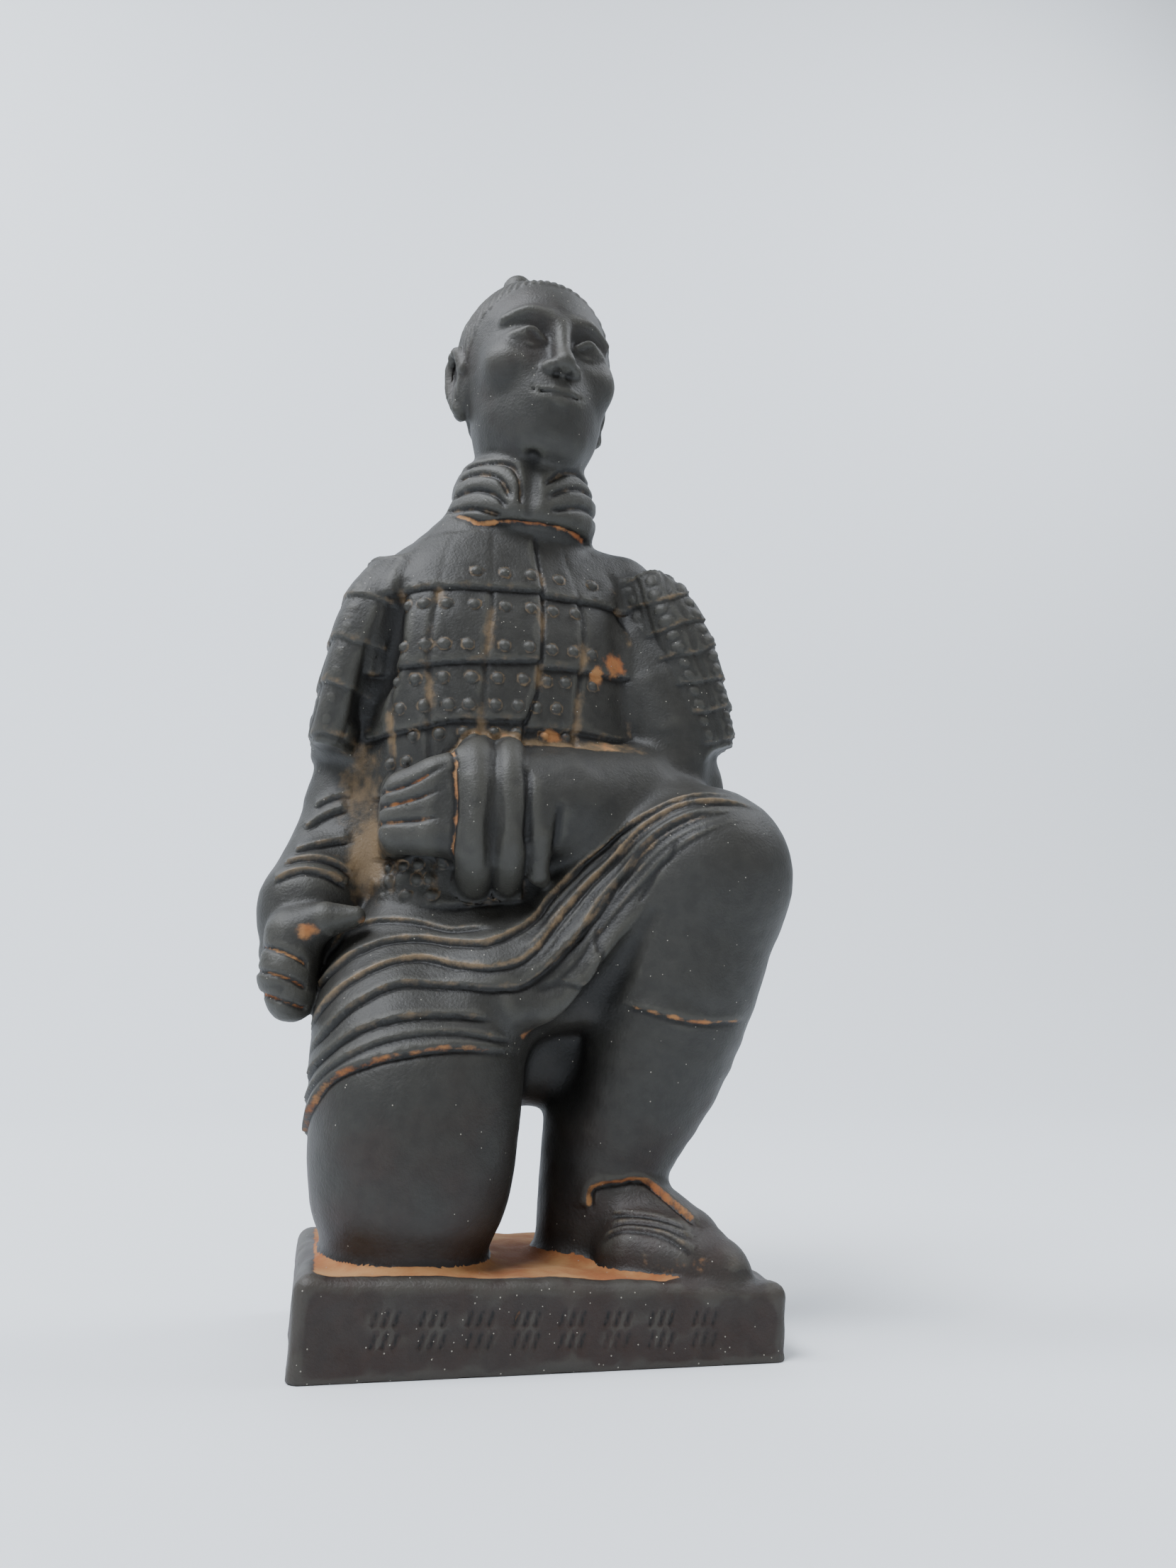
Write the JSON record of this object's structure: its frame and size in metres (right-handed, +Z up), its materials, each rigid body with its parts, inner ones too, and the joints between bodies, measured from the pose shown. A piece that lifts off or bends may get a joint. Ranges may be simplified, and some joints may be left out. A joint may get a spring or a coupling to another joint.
{
  "type": "kneeling terracotta warrior statuette",
  "caption": "Small kneeling warrior in scale armour, moulded in one with a rectangular plinth, in dark patinated terracotta.",
  "frame": {"origin": "centre of the overall box in X and Y, on the plinth's flat underside", "axes": "+Z up from the underside to the topknot, the figure and the plinth's front face look along -Y, +X towards the raised knee"},
  "size_m": [0.087, 0.0486, 0.1866],
  "materials": {
    "terracotta": null
  },
  "bodies": {
    "root": {"statue": "terracotta"}
  },
  "joints": []
}
